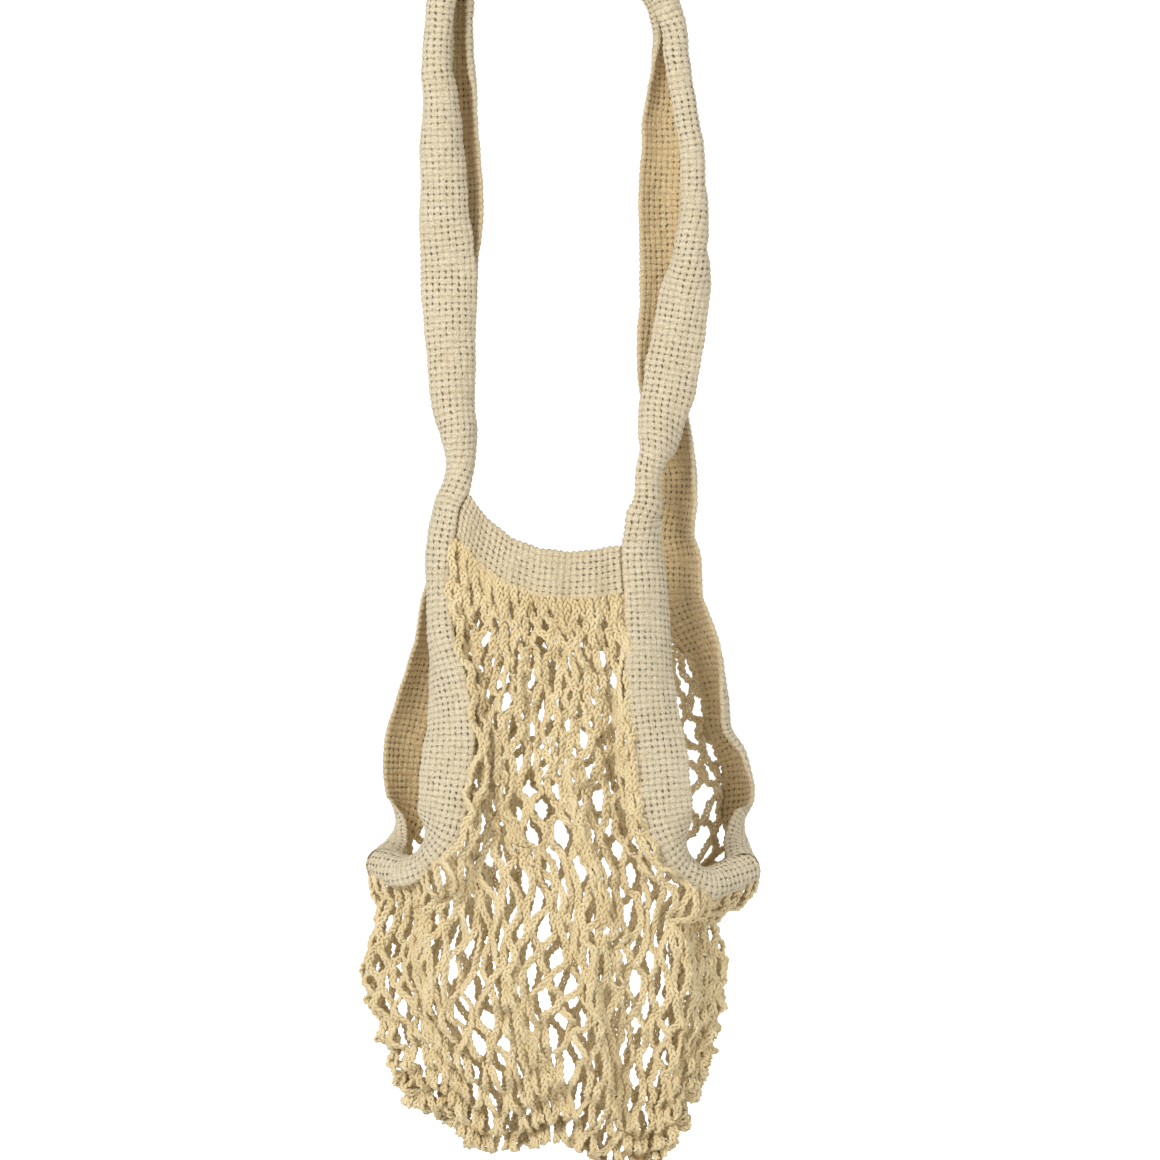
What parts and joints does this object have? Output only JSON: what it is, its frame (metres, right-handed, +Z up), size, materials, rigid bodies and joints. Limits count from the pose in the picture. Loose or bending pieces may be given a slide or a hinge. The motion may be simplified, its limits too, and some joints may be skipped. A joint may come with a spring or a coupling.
{
  "type": "string shopping bag",
  "caption": "Knitted net shopping bag with two long tape handles, bound side openings, gathered top bands and a gathered net body, hanging open.",
  "frame": {"origin": "where the bag hangs: the underside of the two handles at their highest place", "axes": "+Z up along the hanging bag, the front of the bag looks along -Y, +X to the right of someone who faces its front"},
  "size_m": [0.1655, 0.0696, 0.5206],
  "materials": {
    "tape_cotton": "knitted undyed cotton, matt",
    "band_cotton": "knitted undyed cotton, matt",
    "net_cotton": "knitted undyed cotton cords, matt"
  },
  "bodies": {
    "root": {"front_tape": "tape_cotton", "rear_tape": "tape_cotton", "front_top_band": "band_cotton", "rear_top_band": "band_cotton", "net_body": "net_cotton"}
  },
  "joints": []
}
